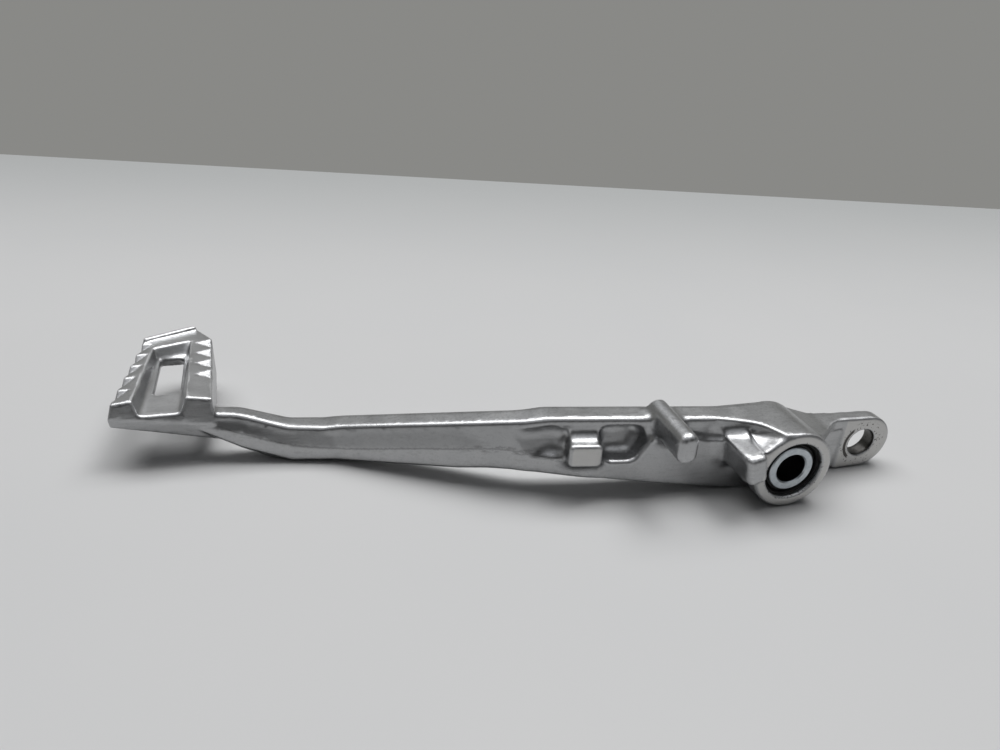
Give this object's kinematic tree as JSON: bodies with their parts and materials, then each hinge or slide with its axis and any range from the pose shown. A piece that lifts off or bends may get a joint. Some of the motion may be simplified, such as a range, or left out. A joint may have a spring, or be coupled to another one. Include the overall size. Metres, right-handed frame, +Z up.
{
  "type": "motorcycle rear brake pedal",
  "caption": "Cranked one-piece foot brake lever with a toothed foot pad, a sealed pivot boss on a steel sleeve, spring posts and a pushrod eye.",
  "frame": {"origin": "on the pivot axis, half way along the boss", "axes": "+X forward to the foot pad, +Y inboard along the pivot axis, +Z up"},
  "size_m": [0.2161, 0.1045, 0.0264],
  "materials": {
    "lever_alloy": "satin blasted forging with machined boss and eye faces",
    "sleeve_zinc": "bright zinc plate",
    "seal_rubber": "black moulded rubber"
  },
  "bodies": {
    "lever": {"pedal_lever": "lever_alloy", "inboard_seal": "seal_rubber", "outboard_seal": "seal_rubber"},
    "sleeve": {"pivot_sleeve": "sleeve_zinc"}
  },
  "joints": [
    {"name": "pivot_turn", "type": "hinge", "parent": "lever", "child": "sleeve", "pos_m": [0, 0, 0], "axis": [0, 1, 0], "continuous": true}
  ]
}
